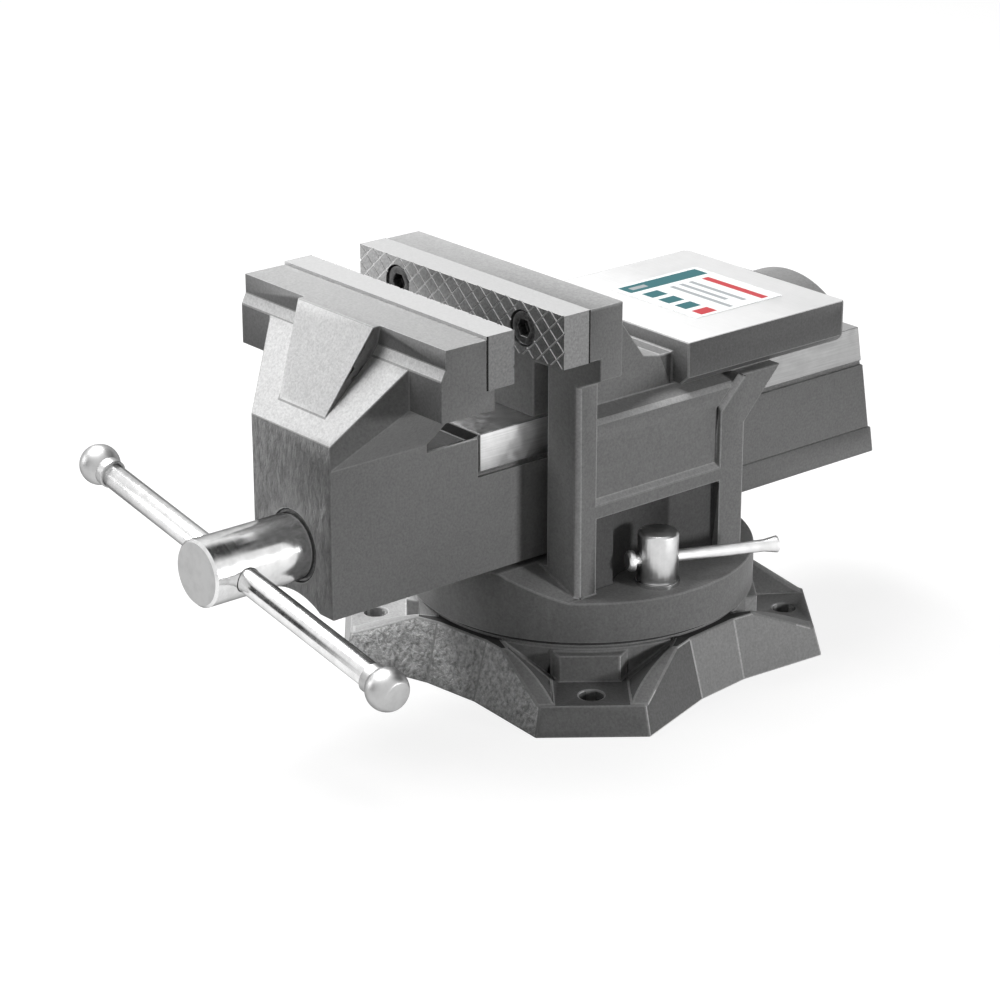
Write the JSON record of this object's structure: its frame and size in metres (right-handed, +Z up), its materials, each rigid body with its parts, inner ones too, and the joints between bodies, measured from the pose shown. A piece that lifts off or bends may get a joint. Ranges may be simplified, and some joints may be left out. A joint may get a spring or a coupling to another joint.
{
  "type": "swivel bench vise",
  "caption": "Bench vise with crosshatched jaw plates, a screw-driven sliding jaw, an anvil at the back and a swivel base that two tommy-bar bolts lock.",
  "frame": {"origin": "on the bench plane, on the swivel axis, at the middle of the four bench bolts", "axes": "+Z up along the swivel axis, -Y towards the handle, +X to the right as seen from the handle"},
  "size_m": [0.2362, 0.4049, 0.2031],
  "materials": {
    "cast_paint": "sand-cast, satin grey paint",
    "ground_steel": "ground",
    "bright_steel": "polished",
    "dark_steel": "blackened",
    "bare_iron": "as cast",
    "label_sheet": "printed sheet"
  },
  "bodies": {
    "base": {"swivel_base": "cast_paint", "pivot_bolt": "dark_steel", "pivot_washer": "dark_steel", "pivot_nut": "dark_steel"},
    "body": {"rear_body": "cast_paint", "fixed_jaw_plate": "ground_steel", "fixed_jaw_screws": "dark_steel", "spindle_nut": "bare_iron", "nut_bolts": "dark_steel", "anvil_label": "label_sheet", "lock_washer_right": "bright_steel", "lock_washer_left": "bright_steel", "lock_t_nut_right": "dark_steel", "lock_t_nut_left": "dark_steel"},
    "jaw": {"front_jaw": "cast_paint", "moving_jaw_plate": "ground_steel", "moving_jaw_screws": "dark_steel"},
    "spindle": {"spindle": "bright_steel", "thrust_washer": "bright_steel", "spring_washer": "dark_steel", "spindle_spring": "dark_steel", "retaining_collar": "dark_steel", "collar_pin": "dark_steel"},
    "handle": {"handle_bar": "bright_steel", "handle_knob_left": "bright_steel", "handle_knob_right": "bright_steel"},
    "lock_right": {"lock_bolt_right": "bright_steel"},
    "lock_left": {"lock_bolt_left": "bright_steel"},
    "lock_bar_right": {"lock_bar_right": "bright_steel"},
    "lock_bar_left": {"lock_bar_left": "bright_steel"}
  },
  "joints": [
    {"name": "swivel", "type": "hinge", "parent": "base", "child": "body", "pos_m": [0, 0, 0], "axis": [0, 0, 1], "continuous": true},
    {"name": "jaw_slide", "type": "slide", "parent": "body", "child": "jaw", "axis": [0, 1, 0], "range_m": [-0.1208, 0.0291]},
    {"name": "spindle_turn", "type": "hinge", "parent": "jaw", "child": "spindle", "pos_m": [0, -0.1765, 0.095], "axis": [0, 1, 0], "range_deg": [-8690, 2090]},
    {"name": "handle_slide", "type": "slide", "parent": "spindle", "child": "handle", "axis": [0.9847, 0, -0.1745], "range_m": [-0.0904, 0.0776]},
    {"name": "lock_turn_right", "type": "hinge", "parent": "body", "child": "lock_right", "pos_m": [0.0675, -0.0105, 0.0541], "axis": [0, 0, 1], "range_deg": [-152, 25]},
    {"name": "lock_bar_slide_right", "type": "slide", "parent": "lock_right", "child": "lock_bar_right", "axis": [0.3907, 0.9205, 0], "range_m": [-0.005, 0.002]},
    {"name": "lock_turn_left", "type": "hinge", "parent": "body", "child": "lock_left", "pos_m": [-0.0675, -0.0105, 0.0541], "axis": [0, 0, 1], "range_deg": [-25, 152]},
    {"name": "lock_bar_slide_left", "type": "slide", "parent": "lock_left", "child": "lock_bar_left", "axis": [-0.3907, 0.9205, 0], "range_m": [-0.005, 0.002]}
  ],
  "couplings": [
    {"joint": "jaw_slide", "follows": "spindle_turn", "m_per_rad": 0.00079577}
  ]
}
